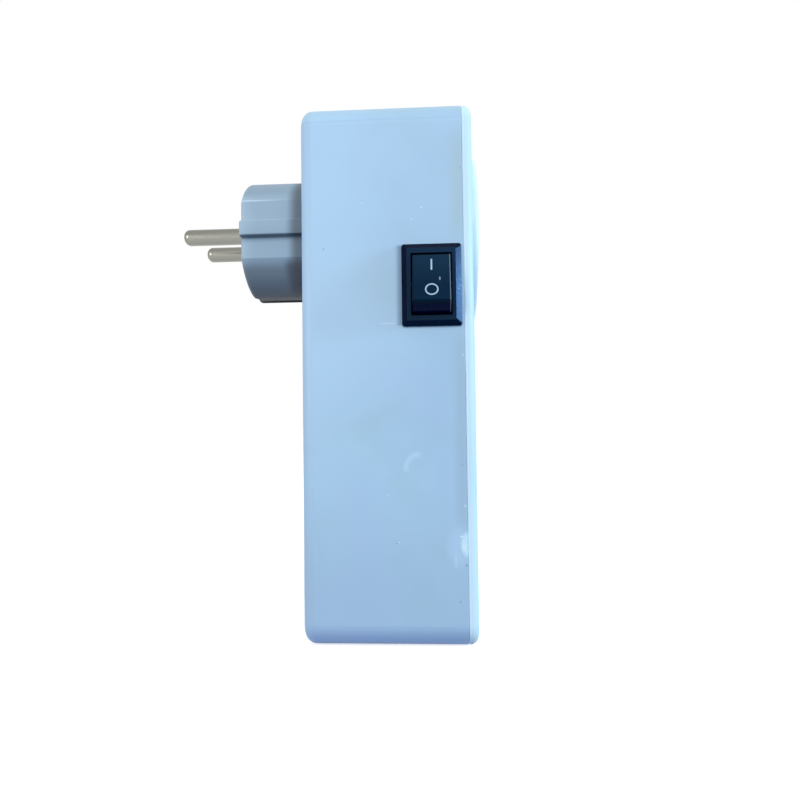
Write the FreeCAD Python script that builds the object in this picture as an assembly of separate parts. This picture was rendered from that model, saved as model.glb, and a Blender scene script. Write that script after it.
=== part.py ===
# Plug-through mains voltage protector: a tall flat box with a round two-pin earthed plug
# on its back, a round recessed socket on its front and a rocker switch in its side.
#
# Millimetres. The origin is the centre of the face that the box stands on.
# +Z is up, +X points out of the socket (the plug points to -X), and the switch is on -Y.
import FreeCAD, Part
import math
import os

V = FreeCAD.Vector
X_AXIS = V(1, 0, 0)
Y_AXIS = V(0, 1, 0)
Z_AXIS = V(0, 0, 1)

# Box
box_height = 139.0
box_width = 74.0
box_depth = 44.2
wall = 2.2
cover_thickness = 2.5
corner_radius = 6.0
rear_edge_radius = 3.0
cover_edge_radius = 2.2
seam_chamfer = 0.25
lip_depth = 2.5
lip_thickness = 1.2
lip_play = 0.15

# Clearances shared by pieces that go into each other
insert_play = 0.05
seat_play = 0.2

# Plug and socket. The plug's axis lies a little above the socket's
cup_top_gap = 3.3
plug_above_socket = 1.6
pin_radius = 2.4
pin_spacing = 19.0
pin_length = 19.0
pin_tip_radius = 1.8
pin_shank_radius = 2.1
pin_inner_length = 2.4
pin_wall_play = 0.4

plug_radius = 18.2
plug_length = 22.2
plug_flat = 16.1
plug_edge_radius = 1.5
guide_rib_width = 4.2
earth_groove_width = 7.0
earth_groove_length = 18.0
earth_groove_floor = 16.6

earth_strip_width = 5.0
earth_strip_thickness = 0.8
earth_strip_inset = 1.0

lug_width = 4.8
lug_thickness = 0.8
lug_length = 7.0

collar_radius = 25.0
collar_height = 2.45
collar_edge_radius = 1.3
recess_radius = 19.5
recess_depth = 17.5
recess_mouth_radius = 0.6
cup_wall = 2.2
cup_floor = 3.0
cup_play = 0.2
earth_groove_stop = 3.0
snap_count = 4
snap_height = 1.2
snap_length = 3.0
snap_width = 6.0
pin_hole_radius = 2.9
socket_earth_hump = 1.9

sleeve_bore = 2.45
sleeve_wall = 0.95
sleeve_length = 15.0
sleeve_slit = 1.0
sleeve_recess = 0.7
tower_wall = 1.7
base_plate_radius = 16.0
base_plate_thickness = 3.0
earth_wire_offset = 8.0

# Screws
screw_head_radius = 2.8
screw_head_height = 2.2
screw_shank_radius = 1.45
screw_slot_width = 0.8
screw_slot_depth = 1.0
small_head_radius = 2.3
small_head_height = 1.6
small_shank_radius = 1.1
screw_way = 0.25
column_radius = 4.4
column_inset = 4.0
cover_boss_length = 11.7
column_floor = 4.0
cover_boss_radius = 3.6
housing_screw_grip = 9.0
plug_screw_offset = 10.5
plug_screw_grip = 9.0
base_screw_y = 12.0
base_screw_z = 8.5
base_screw_grip = 2.0
pilot_spare = 0.4
screw_edge_share = 0.4
screw_cross_share = 0.7

# Rocker switch
switch_from_seam = 8.21
switch_below_socket = 20.8
rocker_side_play = 0.45
rocker_end_play = 0.35
case_side_wall = 1.25
case_end_wall = 1.6
case_floor = 1.4
bezel_side_reach = 1.1
bezel_end_reach = 0.95
bezel_height = 1.6
bezel_edge = 0.5
bezel_bevel = 1.4
bezel_corner_radius = 0.7
bezel_inner_radius = 0.25
cutout_play = 0.1
catch_height = 0.8
catch_length = 4.0
catch_width = 5.0

rocker_width = 9.4
rocker_end_radius = 7.5
rocker_throw = 32.0
pressed_end_rise = 0.78
rocker_skirt_angle = 25.0
rocker_edge_radius = 0.35
pivot_depth = 1.6
pivot_radius = 1.0
pivot_play = 0.05
pivot_grip = 0.95
stem_width = 4.4
stem_length = 4.0
stem_reach = 6.2
plunger_radius = 1.15
plunger_reach = 9.25
plunger_start = 3.6
spring_top = 0.6
spring_wire = 0.3
spring_turns = 6

blade_rise = 14.0
blade_throw = 16.0
blade_arm = 5.2
blade_width = 3.6
blade_thickness = 0.6
blade_gap = 0.4
knife_length = 1.15
tab_width = 4.8
tab_thickness = 0.8
tab_length = 7.0
tab_hole_radius = 0.9
tab_hole_inset = 2.6
load_tab_offset = 7.0
load_contact_offset = 4.6
load_contact_radius = 1.1

# Circuit board and what it carries. Places are (from the board's right edge, from its top
# or bottom edge). The relay, film capacitor, varistor and pads keep to the top edge.
board_thickness = 1.6
board_front_gap = 8.5
board_tab_gap = 1.5
board_side_gap = 4.8
board_column_gap = 0.4
board_cup_gap = 2.1
board_corner_radius = 2.0
post_radius = 3.0
post_inset_y = 4.0
post_inset_z = 5.0
board_screw_grip = 6.0
board_hole_radius = 1.4

relay_size = (20.1, 27.4, 32.4)
relay_place = (14.7, 24.0)
relay_edge_radius = 0.8
relay_base_height = 2.4
film_size = (17.0, 11.0, 26.5)
film_place = (39.5, 29.0)
film_edge_radius = 1.0
varistor_radius = 7.0
varistor_thickness = 4.5
varistor_place = (31.3, 27.0)
varistor_lead_pitch = 7.5
disc_edge_share = 0.3
live_pad_place = (39.5, 11.0)
live_out_pad_place = (28.5, 4.0)
neutral_out_pad_place = (22.0, 4.0)
neutral_pad_place = (12.0, 4.0)

large_can_radius = 5.0
large_can_height = 17.0
large_can_place = (31.5, 28.4)
small_can_radius = 4.0
small_can_height = 12.0
small_can_place = (25.0, 6.0)
can_shoulder_share = 0.15
vent_score = 0.3
vent_share = 0.6
fuse_radius = 2.6
fuse_length = 20.0
fuse_cap_length = 5.0
fuse_cap_wall = 0.2
fuse_place = (23.0, 14.6)
fuse_lift = 4.0
chip_size = (3.4, 6.4, 9.6)
chip_place = (14.4, 6.0)
chip_leg_pitch = 2.54
chip_leg_count = 4

# Resistors and diodes lie on the board's front, in two columns
axial_pitch = 10.2
axial_columns = 2
axial_rows = 2
axial_column_step = 11.2
axial_row_step = 3.4
resistor_radius = 1.2
resistor_length = 6.4
resistor_place = (28.3, 33.0)
diode_radius = 1.35
diode_length = 5.2
diode_place = (28.3, 45.0)
lead_radius = 0.35
lead_tail = 1.2

lamp_names = ("led_green", "led_yellow", "led_red")
lamp_spacing = 9.0
lamp_rise = 20.2
lamp_radius = 2.5
lamp_flange_radius = 2.9
lamp_flange_height = 1.0
lamp_length = 8.6
lamp_stand_out = 0.6
lamp_play = 0.1
lamp_lead_pitch = 2.54

wire_radius = 1.1
wire_step = 5.0
wire_bend_share = 0.45

# Places that follow from the sizes above
rear_x = -box_depth / 2
front_x = box_depth / 2
seam_x = front_x - cover_thickness
side_y = box_width / 2
inner_x = rear_x + wall
inner_y = side_y - wall
cup_radius = recess_radius + cup_wall
socket_height = box_height - wall - cup_radius - cup_top_gap
plug_height = socket_height + plug_above_socket
half_spacing = pin_spacing / 2
plug_face_x = rear_x - plug_length
pin_back_x = inner_x + pin_inner_length
collar_x = front_x + collar_height
floor_front_x = collar_x - recess_depth
floor_back_x = floor_front_x - cup_floor
plate_back_x = floor_back_x - base_plate_thickness
sleeve_front_x = floor_back_x - sleeve_recess
sleeve_back_x = sleeve_front_x - sleeve_length
sleeve_radius = sleeve_bore + sleeve_wall
tower_radius = sleeve_radius + insert_play + tower_wall
column_x = seam_x - cover_boss_length
column_y = inner_y - column_inset
column_z = wall + column_inset
column_spots = [(y, z) for y in (-column_y, column_y) for z in (column_z, box_height - column_z)]

switch_x = seam_x - switch_from_seam
switch_height = socket_height - switch_below_socket
opening_width = rocker_width + 2 * rocker_side_play
opening_length = 2 * (rocker_end_radius + rocker_end_play)
case_width = opening_width + 2 * case_side_wall
case_length = opening_length + 2 * case_end_wall
bezel_width = case_width + 2 * bezel_side_reach
bezel_length = case_length + 2 * bezel_end_reach
pivot_reach = opening_width / 2 + pivot_grip
rim_y = -side_y - bezel_height
pivot_y = rim_y + pivot_depth
blade_crest_y = pivot_y + plunger_reach + blade_gap
blade_axis_y = blade_crest_y + blade_thickness
knife_y = blade_axis_y + seat_play
case_floor_y = knife_y + knife_length
case_back_y = case_floor_y + case_floor
tab_end_y = case_back_y + tab_length
load_tab_height = switch_height - load_tab_offset

board_front_x = seam_x - board_front_gap
board_back_x = board_front_x - board_thickness
board_left_y = tab_end_y + board_tab_gap
board_right_y = inner_y - board_side_gap
board_bottom = column_z + column_radius + board_column_gap
board_top = socket_height - cup_radius - board_cup_gap
lamp_height = board_bottom + lamp_rise


def block(x0, x1, y0, y1, z0, z1):
    return Part.makeBox(x1 - x0, y1 - y0, z1 - z0, V(x0, y0, z0))


def rod(x0, x1, y, z, radius):
    return Part.makeCylinder(radius, x1 - x0, V(x0, y, z), X_AXIS)


def fuse(shapes):
    joined = shapes[0]
    for shape in shapes[1:]:
        joined = joined.fuse(shape)
    return joined.removeSplitter()


def group(shapes):
    """Cutting tools that may lie apart, as one shape."""
    return Part.makeCompound(shapes)


def edges_parallel(shape, axis):
    found = []
    for edge in shape.Edges:
        if not isinstance(edge.Curve, Part.Line):
            continue
        direction = edge.Curve.Direction
        if abs(direction.dot(axis)) > 0.999:
            found.append(edge)
    return found


def edges_in_plane_x(shape, x):
    return [e for e in shape.Edges if abs(e.BoundBox.XMin - x) < 1e-4 and abs(e.BoundBox.XMax - x) < 1e-4]


def outline_prism(x0, x1, inset, radius):
    """The box's outline, drawn in by inset and given a depth from x0 to x1."""
    half = side_y - inset
    prism = block(x0, x1, -half, half, inset, box_height - inset)
    return prism.makeFillet(radius, edges_parallel(prism, X_AXIS))


def export(shape, name):
    shape.exportStep("parts/" + name + ".step")


def screw(x0, y, z, head_radius, head_height, shank_radius, shank_length):
    """A pan-head screw whose head starts at x0 and whose shank runs to +X."""
    head = rod(x0, x0 + head_height, y, z, head_radius)
    rim = [e for e in head.Edges if abs(e.BoundBox.XMax - x0) < 1e-4]
    head = head.makeFillet(head_height * screw_edge_share, rim)
    shank = rod(x0 + head_height, x0 + head_height + shank_length, y, z, shank_radius)
    tip = [e for e in shank.Edges if abs(e.BoundBox.XMin - x0 - head_height - shank_length) < 1e-4]
    shank = shank.makeChamfer(shank_radius * screw_edge_share, tip)
    body = fuse([head, shank])
    arm = head_radius * screw_cross_share
    half = screw_slot_width / 2
    cross = fuse([
        block(x0, x0 + screw_slot_depth, y - arm, y + arm, z - half, z + half),
        block(x0, x0 + screw_slot_depth, y - half, y + half, z - arm, z + arm),
    ])
    return body.cut(cross)


def reversed_screw(x0, y, z, head_radius, head_height, shank_radius, shank_length):
    """The same screw driven towards -X, with its head's top at x0."""
    shape = screw(-x0, y, z, head_radius, head_height, shank_radius, shank_length)
    return shape.mirror(V(0, 0, 0), X_AXIS)


def ribbon(points, thickness, y0, y1):
    """A bent strip: a centre line of (x, z) points, given a thickness and a width along Y."""
    upper = []
    lower = []
    last = len(points) - 1
    for i, (x, z) in enumerate(points):
        before = points[max(i - 1, 0)]
        after = points[min(i + 1, last)]
        a = V(x - before[0], 0, z - before[1]) if i else V(after[0] - x, 0, after[1] - z)
        b = V(after[0] - x, 0, after[1] - z) if i < last else V(a)
        a.normalize()
        b.normalize()
        normal_a = V(-a.z, 0, a.x)
        normal_b = V(-b.z, 0, b.x)
        mitre = normal_a + normal_b
        mitre.normalize()
        reach = thickness / 2 / mitre.dot(normal_a)
        upper.append(V(x, y0, z) + mitre * reach)
        lower.append(V(x, y0, z) - mitre * reach)
    corners = upper + lower[::-1]
    face = Part.Face(Part.makePolygon(corners + [corners[0]]))
    return face.extrude(V(0, y1 - y0, 0))


def wire_tube(points, radius):
    """A round wire along straight runs that are joined by tangent arcs."""
    pieces = []
    start = points[0]
    for i in range(1, len(points) - 1):
        here = points[i]
        back = points[i - 1] - here
        ahead = points[i + 1] - here
        run = min(back.Length, ahead.Length)
        back.normalize()
        ahead.normalize()
        turn = math.pi - back.getAngle(ahead)
        setback = wire_bend_share * run
        bend = setback / math.tan(turn / 2)
        print("wire bend radius %.1f" % bend)
        first = here + back * setback
        second = here + ahead * setback
        inward = back + ahead
        inward.normalize()
        middle = here + inward * (bend / math.cos(turn / 2) - bend)
        pieces.append(Part.makeLine(start, first))
        pieces.append(Part.Arc(first, middle, second).toShape())
        start = second
    pieces.append(Part.makeLine(start, points[-1]))
    path = Part.Wire(pieces)
    section = Part.Wire(Part.makeCircle(radius, points[0], points[1] - points[0]))
    tube = path.makePipeShell([section], True, False)
    expected = math.pi * radius ** 2 * path.Length
    print("wire length %.1f, volume ratio %.4f" % (path.Length, tube.Volume / expected))
    return tube


def rear_housing():
    """Deep tray: back wall, four sides, screw columns, and the holes for plug and switch."""
    outer = outline_prism(rear_x, seam_x, 0, corner_radius)
    outer = outer.makeFillet(rear_edge_radius, edges_in_plane_x(outer, rear_x))
    outer = outer.makeChamfer(seam_chamfer, edges_in_plane_x(outer, seam_x))
    tray = outer.cut(outline_prism(inner_x, seam_x + 1, wall, corner_radius - wall))
    columns = [rod(inner_x - wall / 2, column_x, y, z, column_radius) for y, z in column_spots]
    tray = fuse([tray] + [column.common(outer) for column in columns])
    holes = []
    for y, z in column_spots:
        holes.append(rod(rear_x - 1, column_x - column_floor, y, z, screw_head_radius + screw_way))
        holes.append(rod(rear_x - 1, column_x + 1, y, z, screw_shank_radius + screw_way))
    for y in (-half_spacing, half_spacing):
        holes.append(rod(rear_x - 1, inner_x + 1, y, plug_height, pin_shank_radius + pin_wall_play))
    for y in (-plug_screw_offset, plug_screw_offset):
        for z in (-plug_screw_offset, plug_screw_offset):
            holes.append(rod(rear_x - 1, inner_x + 1, y, plug_height + z, screw_shank_radius + screw_way))
    arm = plug_arm_height()
    slot_y = earth_strip_width / 2 + seat_play
    slot_z = earth_strip_thickness / 2 + seat_play
    for z in (plug_height - arm, plug_height + arm):
        holes.append(block(rear_x - 1, inner_x + 1, -slot_y, slot_y, z - slot_z, z + slot_z))
    half_x = case_width / 2 + cutout_play
    half_z = case_length / 2 + cutout_play
    holes.append(block(switch_x - half_x, switch_x + half_x, -side_y - 1, -inner_y + 1,
                       switch_height - half_z, switch_height + half_z))
    return tray.cut(group(holes))


def plug_arm_height():
    """Height of the earth strips' centre above and below the plug's axis."""
    return earth_groove_floor + insert_play + earth_strip_thickness / 2


def front_cover():
    """Flat lid with a locating lip, screw bosses, board posts and holes for socket and lamps."""
    plate = outline_prism(seam_x, front_x, 0, corner_radius)
    plate = plate.makeFillet(cover_edge_radius, edges_in_plane_x(plate, front_x))
    plate = plate.makeChamfer(seam_chamfer, edges_in_plane_x(plate, seam_x))
    lip_inset = wall + lip_play
    lip = outline_prism(seam_x - lip_depth, seam_x, lip_inset, corner_radius - lip_inset)
    inner_inset = lip_inset + lip_thickness
    lip = lip.cut(outline_prism(seam_x - lip_depth - 1, seam_x + 1, inner_inset,
                                max(corner_radius - inner_inset, 1.0)))
    lip_gap_x = case_width / 2 + seat_play
    lip_gap_z = case_length / 2 + catch_height + seat_play
    lip = lip.cut(block(switch_x - lip_gap_x, switch_x + lip_gap_x, -side_y, case_back_y,
                        switch_height - lip_gap_z, switch_height + lip_gap_z))
    for y, z in column_spots:
        lip = lip.cut(rod(seam_x - lip_depth - 1, seam_x, y, z, cover_boss_radius - insert_play))
    bosses = [rod(column_x, seam_x + wall / 2, y, z, cover_boss_radius) for y, z in column_spots]
    posts = [rod(board_front_x, seam_x + wall / 2, y, z, post_radius) for y, z in board_posts()]
    cover = fuse([plate, lip] + bosses + posts)
    holes = [rod(seam_x - lip_depth - 1, front_x + 1, 0, socket_height, cup_radius + cup_play)]
    for y, z in column_spots:
        depth = housing_screw_grip + pilot_spare
        holes.append(rod(column_x - 1, column_x + depth, y, z, screw_shank_radius + insert_play))
    for y, z in board_posts():
        depth = board_screw_grip + pilot_spare
        holes.append(rod(board_front_x - 1, board_front_x + depth, y, z, small_shank_radius + insert_play))
    for y in lamp_places():
        holes.append(rod(seam_x - 1, front_x + 1, y, lamp_height, lamp_radius + lamp_play))
    return cover.cut(group(holes))


def board_posts():
    return [(y, z) for y in (board_left_y + post_inset_y, board_right_y - post_inset_y)
            for z in (board_bottom + post_inset_z, board_top - post_inset_z)]


def lamp_places():
    return [(i - (len(lamp_names) - 1) / 2) * lamp_spacing for i in range(len(lamp_names))]


def housing_screws():
    head_x = column_x - column_floor - screw_head_height
    length = column_floor + housing_screw_grip
    return Part.makeCompound([screw(head_x, y, z, screw_head_radius, screw_head_height,
                                    screw_shank_radius, length) for y, z in column_spots])


def plug_body():
    """Round plug with two flats, a guide rib along each, and grooves for the earth strips."""
    full = rod(plug_face_x, rear_x, 0, plug_height, plug_radius)
    flats = block(plug_face_x - 1, rear_x + 1, -plug_flat, plug_flat,
                  plug_height - plug_radius - 1, plug_height + plug_radius + 1)
    body = full.common(flats)
    body = body.makeFillet(plug_edge_radius, edges_in_plane_x(body, plug_face_x))
    full = full.makeFillet(plug_edge_radius, edges_in_plane_x(full, plug_face_x))
    half = guide_rib_width / 2
    band = block(plug_face_x - 1, rear_x + 1, -plug_radius - 1, plug_radius + 1,
                 plug_height - half, plug_height + half)
    body = fuse([body, full.common(band)])
    cuts = []
    for sign in (-1, 1):
        z0, z1 = sorted((sign * earth_groove_floor, sign * (plug_radius + 1)))
        cuts.append(block(plug_face_x - 1, plug_face_x + earth_groove_length, -earth_groove_width / 2,
                          earth_groove_width / 2, plug_height + z0, plug_height + z1))
        slot_y = earth_strip_width / 2 + seat_play
        slot_z = earth_strip_thickness / 2 + insert_play
        centre = plug_height + sign * plug_arm_height()
        cuts.append(block(plug_face_x + earth_groove_length - 1, rear_x + 1, -slot_y, slot_y,
                          centre - slot_z, centre + slot_z))
        cuts.append(rod(plug_face_x - 1, rear_x + 1, sign * half_spacing, plug_height,
                        pin_shank_radius + insert_play))
        for other in (-1, 1):
            cuts.append(rod(rear_x - plug_screw_grip - pilot_spare, rear_x + 1, sign * plug_screw_offset,
                            plug_height + other * plug_screw_offset, screw_shank_radius + insert_play))
    return body.cut(group(cuts))


def plug_pin(y):
    """Round pin with a rounded tip, a thinner shank through the plug, and a flat solder lug."""
    tip_x = plug_face_x - pin_length
    pin = rod(tip_x, plug_face_x, y, plug_height, pin_radius)
    pin = pin.makeFillet(pin_tip_radius, edges_in_plane_x(pin, tip_x))
    shank = rod(plug_face_x, pin_back_x, y, plug_height, pin_shank_radius)
    y0, y1 = sorted((y, y + math.copysign(lug_length, y)))
    lug = block(pin_back_x - lug_thickness, pin_back_x, y0, y1,
                plug_height - lug_width / 2, plug_height + lug_width / 2)
    return fuse([pin, shank, lug])


def plug_earth_strap():
    """One U-shaped strip: a bar inside the box and two arms that lie in the plug's grooves."""
    arm = plug_arm_height()
    tip_x = plug_face_x + earth_strip_inset
    bar_x = inner_x + seat_play + earth_strip_thickness / 2
    points = [(tip_x, plug_height + arm), (bar_x, plug_height + arm),
              (bar_x, plug_height - arm), (tip_x, plug_height - arm)]
    half = earth_strip_width / 2
    return ribbon(points, earth_strip_thickness, -half, half)


def plug_screws():
    length = wall + plug_screw_grip
    screws = []
    for y in (-plug_screw_offset, plug_screw_offset):
        for z in (-plug_screw_offset, plug_screw_offset):
            screws.append(reversed_screw(inner_x + screw_head_height, y, plug_height + z,
                                         screw_head_radius, screw_head_height,
                                         screw_shank_radius, length))
    return Part.makeCompound(screws)


def socket_arm_height():
    """Height of the earth springs' centre above and below the socket's axis."""
    return recess_radius + earth_strip_thickness / 2 + insert_play


def socket_cup():
    """Round recessed socket: collar outside the cover, cup inside it, held by snap lugs."""
    collar = rod(front_x, collar_x, 0, socket_height, collar_radius)
    outer_rim = [e for e in edges_in_plane_x(collar, collar_x)]
    collar = collar.makeFillet(collar_edge_radius, outer_rim)
    cup = fuse([collar, rod(floor_back_x, front_x, 0, socket_height, cup_radius)])
    recess = rod(floor_front_x, collar_x + 1, 0, socket_height, recess_radius)
    cup = cup.cut(recess)
    mouth = [e for e in edges_in_plane_x(cup, collar_x) if e.BoundBox.YMax < recess_radius + 0.01]
    cup = cup.makeChamfer(recess_mouth_radius, mouth)
    snap_x = seam_x - seat_play
    wedge = Part.makeCone(cup_radius, cup_radius + snap_height, snap_length,
                          V(snap_x - snap_length, 0, socket_height), X_AXIS)
    wedge = wedge.cut(rod(snap_x - snap_length - 1, snap_x + 1, 0, socket_height, cup_radius - cup_wall / 2))
    additions = []
    for i in range(snap_count):
        sector = block(snap_x - snap_length, snap_x, -snap_width / 2, snap_width / 2,
                       socket_height, socket_height + collar_radius)
        sector.rotate(V(0, 0, socket_height), X_AXIS, 360 / snap_count * (i + 0.5))
        additions.append(wedge.common(sector))
    cup = fuse([cup] + additions)
    cuts = []
    groove_y = earth_strip_width / 2 + seat_play
    for sign in (-1, 1):
        top = recess_radius + socket_earth_deep()
        z0, z1 = sorted((sign * (recess_radius - 1), sign * top))
        cuts.append(block(floor_back_x - 1, collar_x - earth_groove_stop, -groove_y, groove_y,
                          socket_height + z0, socket_height + z1))
        cuts.append(rod(floor_back_x - 1, floor_front_x + 1, sign * half_spacing, socket_height,
                        pin_hole_radius))
        cuts.append(rod(floor_back_x - 1, floor_back_x + base_screw_grip + insert_play,
                        sign * base_screw_y, socket_height + sign * base_screw_z,
                        small_shank_radius + insert_play))
    return cup.cut(group(cuts))


def socket_earth_deep():
    """Depth of the earth springs' grooves in the cup's wall."""
    return earth_strip_thickness + 2 * insert_play


def socket_base():
    """Carrier behind the cup: a round plate with one hollow tower for each contact sleeve."""
    plate = rod(plate_back_x, floor_back_x, 0, socket_height, base_plate_radius)
    towers = [rod(sleeve_back_x, floor_back_x, y, socket_height, tower_radius)
              for y in (-half_spacing, half_spacing)]
    base = fuse([plate] + towers)
    cuts = [rod(sleeve_back_x - 1, floor_back_x + 1, y, socket_height, sleeve_radius + insert_play)
            for y in (-half_spacing, half_spacing)]
    channel = earth_strip_width / 2 + seat_play
    cuts.append(block(floor_back_x - earth_strip_thickness - insert_play, floor_back_x + 1,
                      -channel, channel, socket_height - base_plate_radius - 1,
                      socket_height + base_plate_radius + 1))
    cuts.append(rod(plate_back_x - 1, floor_back_x, 0, socket_height + earth_wire_offset,
                    wire_radius + seat_play))
    for sign in (-1, 1):
        cuts.append(rod(plate_back_x - 1, floor_back_x + 1, sign * base_screw_y,
                        socket_height + sign * base_screw_z, small_shank_radius + screw_way))
    return base.cut(group(cuts))


def base_screws():
    length = base_plate_thickness + base_screw_grip
    return Part.makeCompound([
        screw(plate_back_x - small_head_height, sign * base_screw_y, socket_height + sign * base_screw_z,
              small_head_radius, small_head_height, small_shank_radius, length) for sign in (-1, 1)])


def socket_contact(y):
    """Slit brass sleeve that grips a pin, closed at the back by a plate with a solder lug."""
    tube = rod(sleeve_back_x, sleeve_front_x, y, socket_height, sleeve_radius)
    end = rod(sleeve_back_x - lug_thickness, sleeve_back_x, y, socket_height, tower_radius - tower_wall / 2)
    lug = block(sleeve_back_x - lug_thickness, sleeve_back_x, y - lug_width / 2, y + lug_width / 2,
                socket_height - lug_length, socket_height)
    sleeve = fuse([tube, end, lug])
    slit = block(sleeve_back_x + sleeve_wall, sleeve_front_x + 1, y - sleeve_slit / 2, y + sleeve_slit / 2,
                 socket_height, socket_height + sleeve_radius + 1)
    bore = rod(sleeve_back_x, sleeve_front_x + 1, y, socket_height, sleeve_bore)
    return sleeve.cut(group([bore, slit]))


def socket_earth_spring():
    """U-shaped earth spring: a bar behind the cup's floor and two arms that bulge inwards."""
    arm = socket_arm_height()
    bar_x = floor_back_x - earth_strip_thickness / 2
    hump_x = (floor_front_x + collar_x) / 2
    hump_half = (collar_x - floor_front_x) / 5
    side = [(bar_x, arm), (hump_x - hump_half, arm), (hump_x, arm - socket_earth_hump),
            (hump_x + hump_half, arm)]
    points = [(x, socket_height + z) for x, z in side[::-1]] + [(x, socket_height - z) for x, z in side]
    half = earth_strip_width / 2
    return ribbon(points, earth_strip_thickness, -half, half)


def bezel_outline(y, inset, radius):
    """The switch frame's outline, drawn in by inset, with rounded corners."""
    x = bezel_width / 2 - inset
    z = bezel_length / 2 - inset
    sides = []
    for turn in range(4):
        across, along = (x, z) if turn % 2 == 0 else (z, x)
        bend = radius * (1 - math.sqrt(0.5))
        side = [Part.makeLine(V(across, y, radius - along), V(across, y, along - radius)),
                Part.Arc(V(across, y, along - radius), V(across - bend, y, along - bend),
                         V(across - radius, y, along)).toShape()]
        for edge in side:
            edge.rotate(V(0, 0, 0), Y_AXIS, -90 * turn)
            edge.translate(V(switch_x, 0, switch_height))
        sides += side
    return Part.Wire(sides)


def switch_case():
    """Bevelled frame outside the wall and a case inside it, open at the front for the rocker."""
    edge_y = -side_y - bezel_edge
    frame = Part.Face(bezel_outline(-side_y, 0, bezel_corner_radius)).extrude(V(0, -bezel_edge, 0))
    bevel = Part.makeLoft([bezel_outline(edge_y, 0, bezel_corner_radius),
                           bezel_outline(rim_y, bezel_bevel, bezel_inner_radius)], True, True)
    case = block(switch_x - case_width / 2, switch_x + case_width / 2, -side_y, case_back_y,
                 switch_height - case_length / 2, switch_height + case_length / 2)
    catches = []
    for sign in (-1, 1):
        face = Part.Face(Part.makePolygon([
            V(0, -inner_y, 0), V(0, -inner_y, catch_height),
            V(0, -inner_y + catch_length, 0), V(0, -inner_y, 0)]))
        catch = face.extrude(V(catch_width, 0, 0))
        catch.translate(V(-catch_width / 2, 0, case_length / 2))
        if sign < 0:
            catch = catch.mirror(V(0, 0, 0), Z_AXIS)
        catch.translate(V(switch_x, 0, switch_height))
        catches.append(catch)
    body = fuse([frame, bevel, case] + catches)
    cavity = block(switch_x - opening_width / 2, switch_x + opening_width / 2, rim_y - 1, case_floor_y,
                   switch_height - opening_length / 2, switch_height + opening_length / 2)
    pivot = rod(switch_x - pivot_reach - seat_play, switch_x + pivot_reach + seat_play,
                pivot_y, switch_height, pivot_radius + pivot_play)
    slots = []
    for z in (switch_height, load_tab_height):
        half_x = tab_width / 2 + insert_play
        half_z = tab_thickness / 2 + insert_play
        slots.append(block(switch_x - half_x, switch_x + half_x, case_floor_y - 1, case_back_y + 1,
                           z - half_z, z + half_z))
    return body.cut(group([cavity, pivot] + slots))


def tilt(shape, y, angle):
    """Turns a piece of the switch about an axis along X through (y, switch_height)."""
    shape.rotate(V(switch_x, y, switch_height), X_AXIS, angle)
    return shape


def rocker_polar(radius, angle):
    """A point of the rocker's level outline: the angle runs from +Z to the outside of the wall."""
    turn = math.radians(angle)
    return V(0, pivot_y - radius * math.sin(turn), switch_height + radius * math.cos(turn))


def switch_rocker():
    """Rocker with a flat face and round ends, pivot stubs and a hollow stem for the plunger."""
    pressed_end = pivot_depth + pressed_end_rise
    face_angle = math.degrees(math.asin(pressed_end / rocker_end_radius)) + rocker_throw / 2
    top = rocker_polar(rocker_end_radius, face_angle)
    top_low = rocker_polar(rocker_end_radius, -rocker_skirt_angle)
    bottom = rocker_polar(rocker_end_radius, 180 - face_angle)
    bottom_low = rocker_polar(rocker_end_radius, 180 + rocker_skirt_angle)
    outline = Part.Wire([
        Part.makeLine(bottom, top),
        Part.Arc(top, rocker_polar(rocker_end_radius, 0), top_low).toShape(),
        Part.makeLine(top_low, bottom_low),
        Part.Arc(bottom_low, rocker_polar(rocker_end_radius, 180), bottom).toShape(),
    ])
    body = Part.Face(outline).extrude(V(rocker_width, 0, 0))
    body.translate(V(switch_x - rocker_width / 2, 0, 0))
    pressed_face = min(body.Faces, key=lambda face: face.CenterOfMass.y)
    body = body.makeFillet(rocker_edge_radius, pressed_face.Edges)
    stem = block(switch_x - stem_width / 2, switch_x + stem_width / 2, pivot_y, pivot_y + stem_reach,
                 switch_height - stem_length / 2, switch_height + stem_length / 2)
    stubs = rod(switch_x - pivot_reach, switch_x + pivot_reach, pivot_y, switch_height, pivot_radius)
    bore = Part.makeCylinder(plunger_radius + pivot_play, stem_reach + spring_top + 1,
                             V(switch_x, pivot_y - spring_top, switch_height), Y_AXIS)
    rocker = fuse([body, stem, stubs]).cut(bore)
    return tilt(rocker, pivot_y, -rocker_throw / 2)


def switch_plunger():
    """Round-nosed plunger that slides in the rocker's stem and presses on the contact blade."""
    start = pivot_y + plunger_start
    nose = pivot_y + plunger_reach - plunger_radius
    pin = Part.makeCylinder(plunger_radius, nose - start, V(switch_x, start, switch_height), Y_AXIS)
    ball = Part.makeSphere(plunger_radius, V(switch_x, nose, switch_height))
    return tilt(fuse([pin, ball]), pivot_y, -rocker_throw / 2)


def switch_spring():
    """Small compression spring between the bottom of the rocker's bore and the plunger."""
    radius = plunger_radius - spring_wire / 2
    height = plunger_start + spring_top - spring_wire
    helix = Part.makeHelix(height / spring_turns, height, radius)
    section = Part.Wire(Part.makeCircle(spring_wire / 2, V(radius, 0, 0), Y_AXIS))
    coil = Part.Wire(helix).makePipeShell([section], True, True)
    coil.rotate(V(0, 0, 0), X_AXIS, -90)
    coil.translate(V(switch_x, pivot_y - spring_top + spring_wire / 2, switch_height))
    return tilt(coil, pivot_y, -rocker_throw / 2)


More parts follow.
